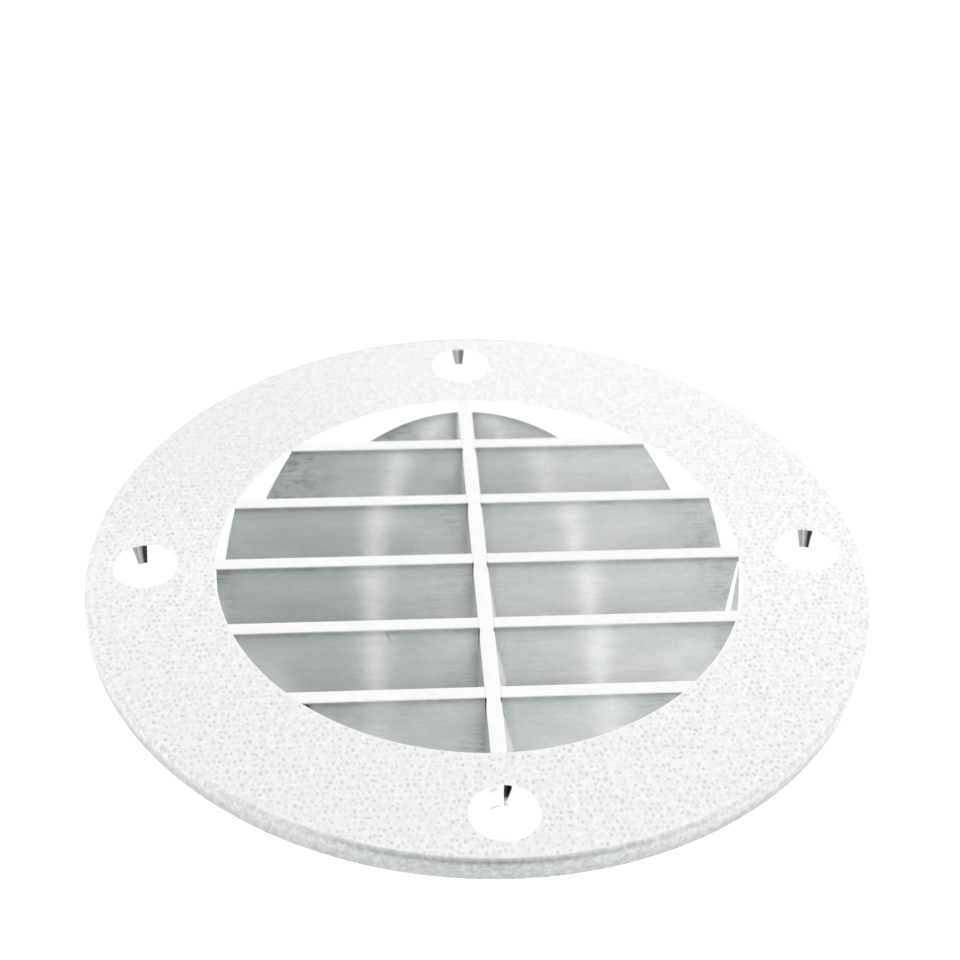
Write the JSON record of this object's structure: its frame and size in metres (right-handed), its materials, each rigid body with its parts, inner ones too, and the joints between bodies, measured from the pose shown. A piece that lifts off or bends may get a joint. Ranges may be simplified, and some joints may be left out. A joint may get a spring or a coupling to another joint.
{
  "type": "round louvred ceiling air diffuser",
  "caption": "Round ceiling air diffuser: flat textured flange with countersunk screw holes, fixed sloping louvres tied by a mullion, and a short duct neck behind.",
  "frame": {"origin": "centre of the neck's duct end, at the middle and bottom of the whole part", "axes": "+Z along the neck's axis from the duct towards the room face; the blades run along X and their undersides lean towards -Y; the mullion runs along Y"},
  "size_m": [0.15, 0.15, 0.03],
  "materials": {
    "cast_metal": "bright finely pebbled casting, polished in the countersinks",
    "satin_metal": "smooth satin",
    "brushed_metal": "brushed along the blade, satin front land",
    "sleeve_metal": "smooth bright rolled sheet",
    "screw_steel": "turned bright steel",
    "gasket_foam": "white closed-cell foam"
  },
  "bodies": {
    "root": {"face_flange": "cast_metal", "flange_gasket": "gasket_foam", "neck_sleeve": "sleeve_metal", "mullion": "satin_metal", "louvre_blade_1": "brushed_metal", "louvre_blade_2": "brushed_metal", "louvre_blade_3": "brushed_metal", "louvre_blade_4": "brushed_metal", "louvre_blade_5": "brushed_metal", "louvre_blade_6": "brushed_metal", "lip_screw_1": "screw_steel", "lip_screw_2": "screw_steel", "lip_screw_3": "screw_steel", "lip_screw_4": "screw_steel", "lip_screw_5": "screw_steel", "lip_screw_6": "screw_steel", "lip_screw_7": "screw_steel", "lip_screw_8": "screw_steel"}
  },
  "joints": []
}
